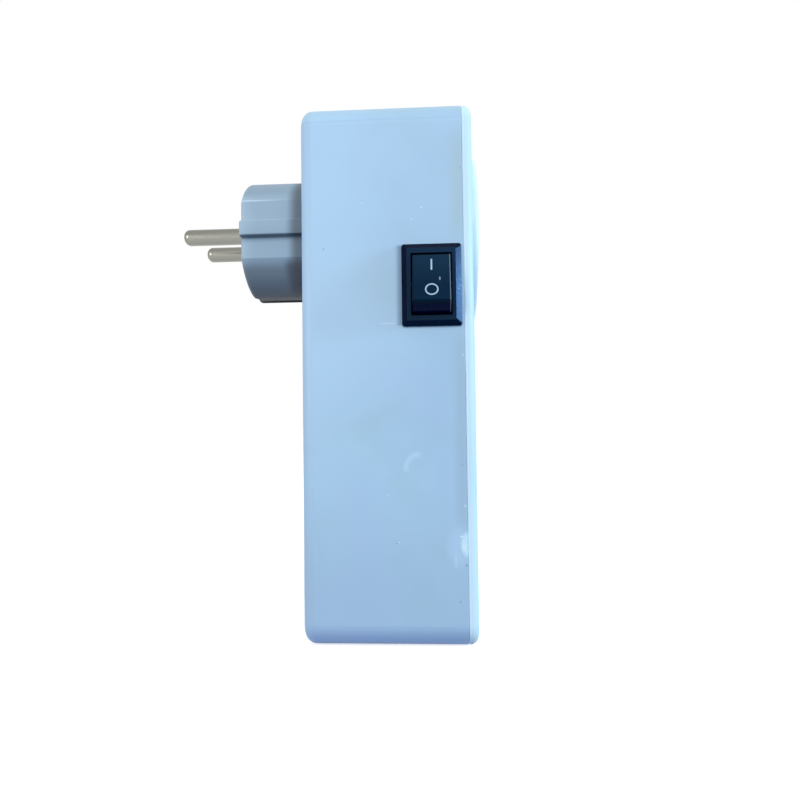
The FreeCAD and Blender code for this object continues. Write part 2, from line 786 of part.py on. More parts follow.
def switch_contact_blade():
    """Shallow V-shaped see-saw of sprung brass that rocks on the common terminal."""
    rise = math.tan(math.radians(blade_rise)) * blade_arm
    crest = blade_crest_y + blade_thickness / 2
    points = [(-blade_arm, crest - rise), (0, crest), (blade_arm, crest - rise)]
    strip = ribbon(points, blade_thickness, -blade_width / 2, blade_width / 2)
    # A third of a turn about the diagonal takes the strip's length to Z and its width to X.
    strip.rotate(V(0, 0, 0), V(1, 1, 1), -120)
    strip.translate(V(switch_x, 0, switch_height))
    return tilt(strip, blade_axis_y, blade_throw / 2)


def terminal_tab(z):
    """Flat push-on tab that leaves the back of the switch's case, with a hole near its end."""
    tab = block(switch_x - tab_width / 2, switch_x + tab_width / 2, case_floor_y, tab_end_y,
                z - tab_thickness / 2, z + tab_thickness / 2)
    hole = Part.makeCylinder(tab_hole_radius, tab_thickness + 2,
                             V(switch_x, tab_end_y - tab_hole_inset, z - tab_thickness / 2 - 1), Z_AXIS)
    return tab.cut(hole)


def switch_terminal_common():
    """Centre tab with the knife edge on which the contact blade rocks."""
    half = blade_width / 2
    knife = block(switch_x - half, switch_x + half, knife_y, case_floor_y,
                  switch_height - tab_thickness / 2, switch_height + tab_thickness / 2)
    return fuse([terminal_tab(switch_height), knife])


def switch_terminal_load():
    """Lower tab with the fixed contact that the blade's lower arm reaches when switched on."""
    net = math.radians(blade_rise - blade_throw / 2)
    inner_edge = load_contact_offset - load_contact_radius
    contact_y = knife_y - inner_edge * math.tan(net)
    contact_z = switch_height - load_contact_offset
    head = Part.makeCylinder(load_contact_radius, case_floor_y - contact_y,
                             V(switch_x, contact_y, contact_z), Y_AXIS)
    bridge = block(switch_x - tab_width / 2, switch_x + tab_width / 2, case_floor_y - tab_thickness,
                   case_floor_y, load_tab_height - tab_thickness / 2, contact_z + load_contact_radius)
    return fuse([terminal_tab(load_tab_height), bridge, head])


def circuit_board():
    """Glass-fibre board on the cover's posts, beside the switch's tabs and below the socket."""
    board = block(board_back_x, board_front_x, board_left_y, board_right_y, board_bottom, board_top)
    board = board.makeFillet(board_corner_radius, edges_parallel(board, X_AXIS))
    holes = [rod(board_back_x - 1, board_front_x + 1, y, z, board_hole_radius) for y, z in board_posts()]
    for y in lamp_places():
        for side in (-lamp_lead_pitch / 2, lamp_lead_pitch / 2):
            holes.append(rod(board_back_x - 1, board_front_x + 1, y + side, lamp_height,
                             lead_radius + insert_play))
    return board.cut(group(holes))


def from_top(place):
    """A place that is given from the board's right and top edges, as y and z."""
    return board_right_y - place[0], board_top - place[1]


def from_bottom(place):
    return board_right_y - place[0], board_bottom + place[1]


def board_screws():
    length = board_thickness + board_screw_grip
    return Part.makeCompound([
        screw(board_back_x - small_head_height, y, z, small_head_radius, small_head_height,
              small_shank_radius, length) for y, z in board_posts()])


def film_capacitor():
    """A potted box on the board's back, with its edges away from the board rounded."""
    depth, width, height = film_size
    y, z = from_top(film_place)
    shape = block(board_back_x - depth, board_back_x, y - width / 2, y + width / 2,
                  z - height / 2, z + height / 2)
    outer = [e for e in shape.Edges if e.BoundBox.XMin < board_back_x - film_edge_radius]
    return shape.makeFillet(film_edge_radius, outer)


def relay():
    """Sealed power relay: its dust cover stands on a slightly smaller base."""
    depth, width, height = relay_size
    y, z = from_top(relay_place)
    step = relay_edge_radius / 2
    base = block(board_back_x - relay_base_height, board_back_x, y - width / 2 + step,
                 y + width / 2 - step, z - height / 2 + step, z + height / 2 - step)
    cover = block(board_back_x - depth, board_back_x - relay_base_height, y - width / 2, y + width / 2,
                  z - height / 2, z + height / 2)
    outer = [e for e in cover.Edges if e.BoundBox.XMin < board_back_x - relay_base_height - step]
    return fuse([base, cover.makeFillet(relay_edge_radius, outer)])


def electrolytic_capacitors():
    """Upright can capacitors with a rounded shoulder and a cross scored in the top."""
    cans = []
    for place, radius, height in ((large_can_place, large_can_radius, large_can_height),
                                  (small_can_place, small_can_radius, small_can_height)):
        y, z = from_bottom(place)
        top_x = board_back_x - height
        can = rod(top_x, board_back_x, y, z, radius)
        can = can.makeFillet(radius * can_shoulder_share, edges_in_plane_x(can, top_x))
        arm = radius * vent_share
        half = vent_score / 2
        cross = fuse([block(top_x - 1, top_x + vent_score, y - arm, y + arm, z - half, z + half),
                      block(top_x - 1, top_x + vent_score, y - half, y + half, z - arm, z + arm)])
        cans.append(can.cut(cross))
    return Part.makeCompound(cans)


def varistor():
    """Lacquered disc that stands on two leads beside the relay."""
    y, z = from_top(varistor_place)
    centre_x = board_back_x - varistor_radius - lead_tail
    disc = Part.makeCylinder(varistor_radius, varistor_thickness,
                             V(centre_x, y - varistor_thickness / 2, z), Y_AXIS)
    rims = [e for e in disc.Edges if isinstance(e.Curve, Part.Circle)]
    disc = disc.makeFillet(varistor_thickness * disc_edge_share, rims)
    leads = [rod(centre_x, board_back_x, y, z + side, lead_radius)
             for side in (-varistor_lead_pitch / 2, varistor_lead_pitch / 2)]
    return fuse([disc] + leads)


def fuse_link():
    """Tubular fuse with two end caps, soldered in by its leads."""
    y, z = from_bottom(fuse_place)
    x = board_back_x - fuse_lift
    tube = Part.makeCylinder(fuse_radius - fuse_cap_wall, fuse_length, V(x, y - fuse_length / 2, z), Y_AXIS)
    parts = [tube]
    for start in (y - fuse_length / 2, y + fuse_length / 2 - fuse_cap_length):
        parts.append(Part.makeCylinder(fuse_radius, fuse_cap_length, V(x, start, z), Y_AXIS))
    for side in (-1, 1):
        foot_y = y + side * (fuse_length / 2 - fuse_cap_length / 2)
        parts.append(rod(x, board_back_x, foot_y, z, lead_radius * 2))
    return fuse(parts)


def control_chip():
    """Eight-legged chip that watches the voltage and drives the relay."""
    depth, width, length = chip_size
    y, z = from_bottom(chip_place)
    stand = chip_leg_pitch / 4
    body = block(board_back_x - stand - depth, board_back_x - stand, y - width / 2, y + width / 2,
                 z - length / 2, z + length / 2)
    legs = []
    for side in (-1, 1):
        for i in range(chip_leg_count):
            leg_z = z + (i - (chip_leg_count - 1) / 2) * chip_leg_pitch
            y0, y1 = sorted((y + side * width / 2, y + side * (width / 2 + lead_radius * 2)))
            legs.append(block(board_back_x - stand - depth / 2, board_back_x, y0, y1,
                              leg_z - lead_radius, leg_z + lead_radius))
    return fuse([body] + legs)


def axial_part(y, z, length, radius):
    """A small part with a lead at each end, lying along Y just off the board's front."""
    x = board_front_x + radius + insert_play
    body = Part.makeCylinder(radius, length, V(x, y - length / 2, z), Y_AXIS)
    rims = [e for e in body.Edges if isinstance(e.Curve, Part.Circle)]
    body = body.makeFillet(radius * disc_edge_share, rims)
    half = axial_pitch / 2
    wire = Part.makeCylinder(lead_radius, axial_pitch, V(x, y - half, z), Y_AXIS)
    feet = [rod(board_front_x, x + lead_radius, y + side * (half - lead_radius), z, lead_radius)
            for side in (-1, 1)]
    return fuse([body, wire] + feet)


def axial_grid(place, length, radius):
    y, z = from_bottom(place)
    parts = []
    for column in range(axial_columns):
        for row in range(axial_rows):
            parts.append(axial_part(y + column * axial_column_step, z + row * axial_row_step,
                                    length, radius))
    return Part.makeCompound(parts)


def lamp(y):
    """Five-millimetre lamp: flanged clear body with a domed nose that shows through the cover."""
    nose_x = front_x + lamp_stand_out
    base_x = nose_x - lamp_length
    flange = rod(base_x, base_x + lamp_flange_height, y, lamp_height, lamp_flange_radius)
    body = rod(base_x, nose_x - lamp_radius, y, lamp_height, lamp_radius)
    dome = Part.makeSphere(lamp_radius, V(nose_x - lamp_radius, y, lamp_height))
    leads = [rod(board_back_x - lead_tail, base_x, y + side, lamp_height, lead_radius)
             for side in (-lamp_lead_pitch / 2, lamp_lead_pitch / 2)]
    return fuse([flange, body, dome] + leads)


def pad(place):
    """The point on the board's back where a wire is soldered."""
    y, z = from_top(place)
    return V(board_back_x, y, z)


def wires():
    """Insulated wires inside the box, each from one soldered end to the other."""
    step = wire_step
    pin_x = pin_back_x - lug_thickness / 2
    live_pin = V(pin_x, -half_spacing - lug_length, plug_height)
    neutral_pin = V(pin_x, half_spacing + lug_length, plug_height)
    common_tab = V(switch_x, tab_end_y, switch_height)
    load_tab = V(switch_x, tab_end_y - tab_hole_inset, load_tab_height - tab_thickness / 2)
    contact_x = sleeve_back_x - lug_thickness / 2
    live_contact = V(contact_x, -half_spacing, socket_height - lug_length)
    neutral_contact = V(contact_x, half_spacing, socket_height - lug_length)
    earth_z = socket_height + earth_wire_offset
    earth_bar = V(inner_x + seat_play + earth_strip_thickness, 0, earth_z)
    earth_spring = V(floor_back_x - earth_strip_thickness, 0, earth_z)
    live_pad = pad(live_pad_place)
    live_out = pad(live_out_pad_place)
    neutral_out = pad(neutral_out_pad_place)
    neutral_pad = pad(neutral_pad_place)
    routes = {
        "wire_plug_to_switch": [
            live_pin, live_pin + V(0, -1.1, 0) * step, live_pin + V(0.35, -0.9, -2.4) * step,
            live_pin + V(1.95, 0.5, -3.9) * step, common_tab + V(-1.7, 1.3, -0.3) * step,
            common_tab + V(0, 1.3, 0) * step, common_tab],
        "wire_switch_to_board": [
            load_tab, load_tab + V(0, 0, -1.15) * step, load_tab + V(-1.9, 0.3, -1.7) * step,
            live_pad + V(-2.0, 0, 0) * step, live_pad],
        "wire_board_to_socket": [
            live_contact, live_contact + V(0, 0, -1.5) * step, live_contact + V(0.8, 0.7, -3.1) * step,
            live_out + V(-1.9, 0, 0) * step, live_out],
        "wire_neutral_to_board": [
            neutral_pin, neutral_pin + V(0, 1.1, 0) * step, neutral_pin + V(0.35, 1.1, -2.4) * step,
            neutral_pin + V(2.3, 0.5, -4.6) * step, neutral_pad + V(-1.5, 0, 0) * step, neutral_pad],
        "wire_neutral_to_socket": [
            neutral_contact, neutral_contact + V(0, 0, -1.5) * step,
            neutral_contact + V(0.8, -0.1, -3.1) * step, neutral_out + V(-1.9, 0, 0) * step, neutral_out],
        "wire_earth": [
            earth_bar, earth_bar + V(1.2, 0, 0) * step, earth_bar + V(2.2, 0, 0.7) * step,
            earth_bar + V(3.2, 0, 0) * step, earth_spring],
    }
    return {name: wire_tube(points, wire_radius) for name, points in routes.items()}


def build():
    os.makedirs("parts", exist_ok=True)
    pieces = {
        "rear_housing": rear_housing(),
        "front_cover": front_cover(),
        "housing_screws": housing_screws(),
        "plug_body": plug_body(),
        "plug_pin_live": plug_pin(-half_spacing),
        "plug_pin_neutral": plug_pin(half_spacing),
        "plug_earth_strap": plug_earth_strap(),
        "plug_screws": plug_screws(),
        "socket_cup": socket_cup(),
        "socket_base": socket_base(),
        "socket_base_screws": base_screws(),
        "socket_contact_live": socket_contact(-half_spacing),
        "socket_contact_neutral": socket_contact(half_spacing),
        "socket_earth_spring": socket_earth_spring(),
        "switch_case": switch_case(),
        "switch_rocker": switch_rocker(),
        "switch_plunger": switch_plunger(),
        "switch_spring": switch_spring(),
        "switch_contact_blade": switch_contact_blade(),
        "switch_terminal_common": switch_terminal_common(),
        "switch_terminal_load": switch_terminal_load(),
        "circuit_board": circuit_board(),
        "board_screws": board_screws(),
        "relay": relay(),
        "film_capacitor": film_capacitor(),
        "electrolytic_capacitors": electrolytic_capacitors(),
        "varistor": varistor(),
        "fuse": fuse_link(),
        "control_chip": control_chip(),
        "resistors": axial_grid(resistor_place, resistor_length, resistor_radius),
        "diodes": axial_grid(diode_place, diode_length, diode_radius),
    }
    for name, y in zip(lamp_names, lamp_places()):
        pieces[name] = lamp(y)
    pieces.update(wires())
    for name, shape in pieces.items():
        print("%-26s solids %d volume %.2f valid %s" % (name, len(shape.Solids), shape.Volume, shape.isValid()))
        export(shape, name)


build()
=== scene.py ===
import math

import bpy
from mathutils import Matrix, Vector


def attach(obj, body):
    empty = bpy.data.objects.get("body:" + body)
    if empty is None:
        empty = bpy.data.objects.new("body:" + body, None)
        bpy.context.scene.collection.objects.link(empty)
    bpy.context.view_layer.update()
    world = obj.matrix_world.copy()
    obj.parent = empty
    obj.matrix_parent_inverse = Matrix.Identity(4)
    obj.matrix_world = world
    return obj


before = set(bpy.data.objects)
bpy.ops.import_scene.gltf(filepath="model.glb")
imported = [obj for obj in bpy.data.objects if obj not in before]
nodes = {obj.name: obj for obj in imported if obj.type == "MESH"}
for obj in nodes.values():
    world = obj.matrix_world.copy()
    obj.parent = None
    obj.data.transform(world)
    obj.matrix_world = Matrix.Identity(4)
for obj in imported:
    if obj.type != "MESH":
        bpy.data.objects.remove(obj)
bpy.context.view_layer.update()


# Camera: level with the lower half of the box and square to its side, close enough that
# near edges look clearly larger than far ones. 27 mm on a 36 mm sensor.
camera_data = bpy.data.cameras.new("camera")
camera_data.lens = 27
camera_data.sensor_width = 36
camera_data.clip_start = 0.01
camera = bpy.data.objects.new("camera", camera_data)
bpy.context.collection.objects.link(camera)
camera_stand = Matrix.Translation((0.0109762, -0.1871638, 0.0572537))
camera_turn = Matrix.Rotation(math.radians(3.0138), 4, "Z")
camera_tip = Matrix.Rotation(math.radians(91.8850), 4, "X")
camera_roll = Matrix.Rotation(math.radians(-0.7277), 4, "Z")
camera.matrix_world = camera_stand @ camera_turn @ camera_tip @ camera_roll
bpy.context.scene.camera = camera


# Housing: a deep tray of moulded ABS, pale blue. The mould leaves a satin surface with soft,
# wide reflections, and years of handling leave clouding, dust specks and a few rubs on the
# side with the switch. That side also carries broad painted light and shade, painted shade
# towards the foot and a painted shadow beside the switch's frame. Places and sizes of marks
# are in millimetres.
def linear(hex_colour):
    """A colour written as sRGB hex, as the linear values that a shader takes."""
    shares = [int(hex_colour[i:i + 2], 16) / 255 for i in (1, 3, 5)]
    return [c / 12.92 if c <= 0.04045 else ((c + 0.055) / 1.055) ** 2.4 for c in shares] + [1.0]


def add_node(tree, kind, inputs=(), **settings):
    """Adds a node: settings are its properties, inputs are values or the outputs that feed it."""
    node = tree.nodes.new(kind)
    for name, value in settings.items():
        setattr(node, name, value)
    for name, value in dict(inputs).items():
        if isinstance(value, bpy.types.NodeSocket):
            tree.links.new(value, node.inputs[name])
        else:
            node.inputs[name].default_value = value
    return node


def new_material(name, **shader_values):
    """A material with its shader and output; shader_values are set on the shader's sockets."""
    material = bpy.data.materials.new(name)
    material.use_nodes = True
    tree = material.node_tree
    tree.nodes.clear()
    inputs = {key.replace("_", " "): value for key, value in shader_values.items()}
    shader = add_node(tree, "ShaderNodeBsdfPrincipled", inputs)
    add_node(tree, "ShaderNodeOutputMaterial", {"Surface": shader.outputs[0]})
    place = add_node(tree, "ShaderNodeTexCoord").outputs["Object"]
    return material, tree, shader, place


def finish(material, *names):
    """Gives the pieces their finish."""
    for name in names:
        nodes[name].data.materials.clear()
        nodes[name].data.materials.append(material)


def mottle(tree, place, colours, spacing_mm, detail=3.0):
    """A soft cloud of two colours, whose patches are about spacing_mm across."""
    cloud = add_node(tree, "ShaderNodeTexNoise",
                     {"Vector": place, "Scale": 1000 / spacing_mm, "Detail": detail})
    spread = add_node(tree, "ShaderNodeMapRange",
                      {"Value": cloud.outputs["Fac"], "From Min": 0.35, "From Max": 0.65})
    first, second = (linear(colour) for colour in colours)
    mix = add_node(tree, "ShaderNodeMix", {0: spread.outputs[0], 6: first, 7: second},
                   data_type="RGBA")
    return mix.outputs[2]


def mark(tree, base, mask, share, colour):
    """The base colour with a mark on it: where the mask is full, share of it is the mark's."""
    cover = add_node(tree, "ShaderNodeMath", {0: mask, 1: share}, operation="MULTIPLY")
    mix = add_node(tree, "ShaderNodeMix", {0: cover.outputs[0], 6: base, 7: linear(colour)},
                   data_type="RGBA")
    return mix.outputs[2]


def grain(tree, place, shader, spacing_mm, height_mm):
    """The mould's texture, as a bump. A real one is about 0.1 mm, too fine to show, so it is
    drawn a few times coarser."""
    noise = add_node(tree, "ShaderNodeTexNoise",
                     {"Vector": place, "Scale": 1000 / spacing_mm, "Detail": 2.0})
    bump = add_node(tree, "ShaderNodeBump",
                    {"Height": noise.outputs["Fac"], "Distance": height_mm / 1000, "Strength": 1.0})
    tree.links.new(bump.outputs[0], shader.inputs["Normal"])


def specks(tree, place, spacing_mm, size_mm, share):
    """A mask of small dots, one in some of the cells of a loose grid."""
    cells = add_node(tree, "ShaderNodeTexVoronoi", {"Vector": place, "Scale": 1000 / spacing_mm})
    edge = size_mm / spacing_mm
    dot = add_node(tree, "ShaderNodeMapRange",
                   {"Value": cells.outputs["Distance"], "From Min": edge, "From Max": edge * 0.6})
    chosen = add_node(tree, "ShaderNodeSeparateColor", {"Color": cells.outputs["Color"]})
    some = add_node(tree, "ShaderNodeMath", {0: chosen.outputs[0], 1: share}, operation="LESS_THAN")
    both = add_node(tree, "ShaderNodeMath", {0: dot.outputs[0], 1: some.outputs[0]},
                    operation="MULTIPLY")
    return both.outputs[0]


def patch(tree, place, centre_mm, reach_mm, edge=1.0):
    """A mask that is full at a place and fades out at reach_mm from it along each axis. The
    fading part is the outer share of the reach that edge gives."""
    there = add_node(tree, "ShaderNodeMapping",
                     {"Vector": place, "Location": [c / 1000 for c in centre_mm],
                      "Scale": [r / 1000 for r in reach_mm]}, vector_type="TEXTURE")
    ball = add_node(tree, "ShaderNodeTexGradient", {"Vector": there.outputs[0]},
                    gradient_type="SPHERICAL")
    soft = add_node(tree, "ShaderNodeMapRange",
                    {"Value": ball.outputs["Fac"], "From Min": 0.0, "From Max": edge},
                    interpolation_type="SMOOTHSTEP")
    return soft.outputs[0]


def stretch(tree, place, axis, start_mm, end_mm, soft_mm, within=1.0):
    """A mask between two places along X, Y or Z, with soft ends. It stays within another mask."""
    along = add_node(tree, "ShaderNodeSeparateXYZ", {"Vector": place}).outputs[axis]
    rise = add_node(tree, "ShaderNodeMapRange",
                    {"Value": along, "From Min": (start_mm - soft_mm) / 1000,
                     "From Max": (start_mm + soft_mm) / 1000, "To Max": within},
                    interpolation_type="SMOOTHSTEP")
    fall = add_node(tree, "ShaderNodeMapRange",
                    {"Value": along, "From Min": (end_mm + soft_mm) / 1000,
                     "From Max": (end_mm - soft_mm) / 1000}, interpolation_type="SMOOTHSTEP")
    both = add_node(tree, "ShaderNodeMath", {0: rise.outputs[0], 1: fall.outputs[0]},
                    operation="MULTIPLY")
    return both.outputs[0]


housing_abs, tree, shader, place = new_material("moulded_abs_housing", IOR=1.53,
                                                Specular_IOR_Level=0.35)
side_y = -37.0
past_seam_x = 21.0
colour = mottle(tree, place, ("#A9C8E7", "#A9CDE6"), 26)
handled = add_node(tree, "ShaderNodeTexNoise", {"Vector": place, "Scale": 1000 / 14, "Detail": 4.0})
greyed = add_node(tree, "ShaderNodeMapRange",
                  {"Value": handled.outputs["Fac"], "From Min": 0.5, "From Max": 0.75})
colour = mark(tree, colour, greyed.outputs[0], 0.4, "#A0C0D2")
# Broad patches on the switch's side, mostly painted light and shade: lighter towards the upper
# left and the left, darker towards the right, greyer beside the switch. X and Z of each, its
# reach, how much it covers, its tone.
for light_shade_x, light_shade_z, reach, share, tone in (
        (-16, 126, (19, 30, 48), 0.5, "#B2D8F2"),
        (18, 92, (27, 30, 85), 0.5, "#9EC1DE"),
        (0.5, 91, (12, 20, 12), 0.75, "#A4C4D8"),
        (-19, 84, (20, 30, 60), 0.6, "#B5D8F0"),
        (-3, 79, (20, 30, 26), 0.35, "#B5D8F0")):
    cloud = patch(tree, place, (light_shade_x, side_y, light_shade_z), reach)
    colour = mark(tree, colour, cloud, share, tone)
# Painted shade, darker towards the foot; painted light and shade in blue round the foot's
# rounded edge; a faint line under the top and a grey top edge: where each band starts and
# ends, how soft its ends are, how much it covers, its tone.
for bottom, top, soft, share, tone in (
        (-20, 28, 14, 0.55, "#9EBBD8"),
        (-5, 5.2, 2.4, 0.45, "#8BADE0"),
        (-5, 2.2, 1.6, 0.8, "#A2D0FF"),
        (133.6, 134.1, 0.3, 0.3, "#97B6D2"),
        (135.5, 145, 1.5, 0.5, "#A4C4D8")):
    colour = mark(tree, colour, stretch(tree, place, "Z", bottom, top, soft), share, tone)
# Two greyed bands along the seam, under and over the switch.
switch_side = stretch(tree, place, "Y", -45, -30, 1)
low_side = stretch(tree, place, "Z", 31, 78, 4, switch_side)
low_band = stretch(tree, place, "X", 16.8, past_seam_x, 1.5, low_side)
colour = mark(tree, colour, low_band, 0.65, "#9DBBD0")
high_side = stretch(tree, place, "Z", 104, 129, 5, switch_side)
high_band = stretch(tree, place, "X", 16.8, past_seam_x, 1.8, high_side)
colour = mark(tree, colour, high_band, 0.7, "#A2BFCC")
# The chip at the seam: what is rubbed round it, its face, its bright middle and the nick over
# it. Then a streak down from it and a scratch beside the switch.
for chip_x, chip_z, reach, edge, share, tone in (
        (17.5, 25.5, (4.2, 2, 6.5), 0.6, 0.5, "#B4D4F0"),
        (19.4, 26.2, (2.1, 2, 3.8), 0.5, 0.8, "#CCEEFF"),
        (18.6, 25.6, (0.9, 2, 1.9), 1.0, 0.5, "#E4F8FF"),
        (17.95, 28.15, (0.75, 1, 0.28), 0.6, 0.9, "#D2EEFF"),
        (16.45, 22.4, (0.35, 1, 3.2), 1.0, 0.6, "#C6E0F6"),
        (0.2, 81.55, (3.4, 1, 0.26), 1.0, 0.8, "#D2E6F8")):
    chip = patch(tree, place, (chip_x, side_y, chip_z), reach, edge)
    colour = mark(tree, colour, chip, share, tone)
# Painted shadow along the left edge of the switch's frame, where the frame shades the side.
beside_frame = stretch(tree, place, "Z", 80.9, 101.3, 0.5, switch_side)
frame_shadow = stretch(tree, place, "X", 2.8, 4.6, 0.8, beside_frame)
colour = mark(tree, colour, frame_shadow, 0.8, "#5F7D98")
# A worn rub in the shape of a quarter ring.
rub = add_node(tree, "ShaderNodeMapping",
               {"Vector": place, "Location": (0.0074, side_y / 1000, 0.0450),
                "Scale": (0.0032, 0.0032, 0.0036)}, vector_type="TEXTURE")
rub = add_node(tree, "ShaderNodeVectorMath", {0: rub.outputs[0]}, operation="LENGTH")
inside = add_node(tree, "ShaderNodeMapRange",
                  {"Value": rub.outputs["Value"], "From Min": 0.62, "From Max": 0.92})
outside = add_node(tree, "ShaderNodeMapRange",
                   {"Value": rub.outputs["Value"], "From Min": 1.24, "From Max": 1.04,
                    "To Max": inside.outputs[0]})
quarter = stretch(tree, place, "Y", -38, -36.5, 0.2, outside.outputs[0])
quarter = stretch(tree, place, "Z", 44.3, 50, 0.7, quarter)
quarter = stretch(tree, place, "X", 1.0, 8.0, 0.9, quarter)
colour = mark(tree, colour, quarter, 0.7, "#B6DAF2")
# Single flecks on the switch's side: X and Z of each, how far it reaches, and its tone.
for fleck_x, fleck_z, reach, tone in (
        (-6.0, 112.4, 0.42, "#C2DBF2"), (6.5, 108.0, 0.36, "#C2DBF2"),
        (-15.9, 100.9, 0.42, "#93B2CE"), (-0.1, 38.5, 0.34, "#C2DBF2"),
        (2.35, 26.7, 0.3, "#D8EAFA"), (1.9, 26.5, 0.32, "#7F9DBC"),
        (19.0, 35.7, 0.5, "#C2DBF2"), (18.5, 45.9, 0.34, "#8FACC6"),
        (19.1, 21.03, 0.5, "#86A3C0"), (17.41, 12.14, 0.4, "#86A3C0"),
        (19.0, 73.3, 0.36, "#C2DBF2"), (19.0, 120.8, 0.4, "#8FACC6")):
    fleck = patch(tree, place, (fleck_x, side_y, fleck_z), (reach, 1, reach), 0.7)
    colour = mark(tree, colour, fleck, 0.8, tone)
colour = mark(tree, colour, specks(tree, place, 9.0, 0.22, 0.25), 1.0, "#D9EBFB")
colour = mark(tree, colour, specks(tree, place, 14.0, 0.16, 0.2), 1.0, "#7F95AC")
tree.links.new(colour, shader.inputs["Base Color"])
satin = add_node(tree, "ShaderNodeMapRange",
                 {"Value": handled.outputs["Fac"], "To Min": 0.38, "To Max": 0.52})
tree.links.new(satin.outputs[0], shader.inputs["Roughness"])
grain(tree, place, shader, 0.5, 0.006)
finish(housing_abs, "rear_housing")


# Front cover: the same ABS, painted paler and a little more cyan than the tray as painted
# light for the light that its edge catches from the right, pressed onto the tray and screwed
# from behind. Its satin is duller, and a painted highlight runs along its edge at the seam.
cover_abs, tree, shader, place = new_material("moulded_abs_cover", Roughness=0.48, IOR=1.53,
                                              Specular_IOR_Level=0.25)
colour = mottle(tree, place, ("#C3DEF3", "#CAE4F6"), 30)
# Painted highlight along the cover's edge at the seam.
colour = mark(tree, colour, stretch(tree, place, "X", 19.3, 20.0, 0.2), 0.8, "#DDF5FF")
colour = mark(tree, colour, specks(tree, place, 11.0, 0.2, 0.2), 1.0, "#E6F6FF")
tree.links.new(colour, shader.inputs["Base Color"])
grain(tree, place, shader, 0.5, 0.006)
finish(cover_abs, "front_cover")


# Socket cup: a separate moulding of ABS that snaps into the cover. Its paler colour is partly
# painted light, lifting the collar where the cover shades it. It is handled more than the
# rest, so it has a slightly tighter shine than the cover round it.
socket_abs, tree, shader, place = new_material("moulded_abs_socket", Roughness=0.36, IOR=1.53,
                                               Specular_IOR_Level=0.35)
colour = mottle(tree, place, ("#D6E8F6", "#DDEEF9"), 30)
colour = mark(tree, colour, specks(tree, place, 11.0, 0.2, 0.2), 1.0, "#EDFAFF")
tree.links.new(colour, shader.inputs["Base Color"])
grain(tree, place, shader, 0.5, 0.006)
finish(socket_abs, "socket_cup")


# Plug: grey heat-resistant thermoplastic, moulded in one block and screwed to the back wall.
# It is duller than the housing and its sides have faint lengthwise flow lines. Painted light
# makes its free end lighter, painted shade darkens it over and under its flats, at the bottom
# and next to the box, and painted highlights run along the edges of its flats and rib.
plug_grey, tree, shader, place = new_material("moulded_grey_plug", Roughness=0.5, IOR=1.5,
                                              Specular_IOR_Level=0.3)
plug_z = 113.4
flat_y = -16.1
rib_y = -18.1
colour = mottle(tree, place, ("#97B1C4", "#9FB8CA"), 22)
lengthwise = add_node(tree, "ShaderNodeMapping", {"Vector": place, "Scale": (0.06, 1.0, 1.0)})
flow = specks(tree, lengthwise.outputs[0], 3.0, 0.5, 0.3)
colour = mark(tree, colour, flow, 0.25, "#B4CCDF")
# Painted light: the free end, farthest from the box's shade, is drawn lighter.
free_end_light = patch(tree, place, (-45, flat_y, plug_z), (6, 30, 30))
colour = mark(tree, colour, free_end_light, 0.5, "#B9D2E4")
# Painted shade over and under the flat, and deeper painted shade at the bottom, in the same
# order as the housing's.
for bottom, top, soft, share, tone in (
        (123.6, 140, 1.6, 1.0, "#90A9BC"),
        (80, 103.4, 1.9, 1.0, "#7C8C99"),
        (80, 97.5, 3.5, 0.65, "#44474E"),
        (80, 96.3, 0.8, 0.5, "#3A3D44")):
    colour = mark(tree, colour, stretch(tree, place, "Z", bottom, top, soft), share, tone)
# Painted shade next to the box, where it shades the plug, and deeper painted shade low down beside
# it.
box_shade = stretch(tree, place, "X", -29.1, -20, 1.8)
colour = mark(tree, colour, box_shade, 0.8, "#4C565F")
low_part = stretch(tree, place, "Z", 80, 104.0, 1.5)
box_shade = stretch(tree, place, "X", -31.0, -20, 1.4, low_part)
colour = mark(tree, colour, box_shade, 0.6, "#3A3A42")
# A thin painted shadow on the flat below the guide rib, and painted highlights along the edges
# of flat and rib.
rib_shadow = stretch(tree, place, "X", -44, -20, 0.2)
rib_shadow = stretch(tree, place, "Z", 110.8, 111.38, 0.45, rib_shadow)
colour = mark(tree, colour, rib_shadow, 0.75, "#3A444D")
flat_edge_highlight = patch(tree, place, (-42, flat_y, plug_z + 8.45), (15, 2, 0.4))
colour = mark(tree, colour, flat_edge_highlight, 0.9, "#CDE6F8")
rib_edge_highlight = patch(tree, place, (-36, rib_y, plug_z + 2.1), (16, 1, 0.3))
colour = mark(tree, colour, rib_edge_highlight, 0.5, "#BFD6E6")
tree.links.new(colour, shader.inputs["Base Color"])
grain(tree, place, shader, 0.4, 0.008)
finish(plug_grey, "plug_body")


# Pins: nickel-plated brass rod, turned and tumbled, pressed through the plug. They shine with
# a warm grey, and the turning leaves fine rings round them, 0.35 mm apart at this scale, which
# is coarse enough to show.
ring_scale = 900.0
pin_nickel, tree, shader, place = new_material("nickelled_brass", Metallic=1.0, Roughness=0.28)
rings = add_node(tree, "ShaderNodeTexWave",
                 {"Vector": place, "Scale": ring_scale, "Distortion": 2.0},
                 bands_direction="X")
tone = add_node(tree, "ShaderNodeMix",
                {0: rings.outputs["Fac"], 6: linear("#7D7D76"), 7: linear("#929189")},
                data_type="RGBA")
tree.links.new(tone.outputs[2], shader.inputs["Base Color"])
finish(pin_nickel, "plug_pin_live", "plug_pin_neutral")


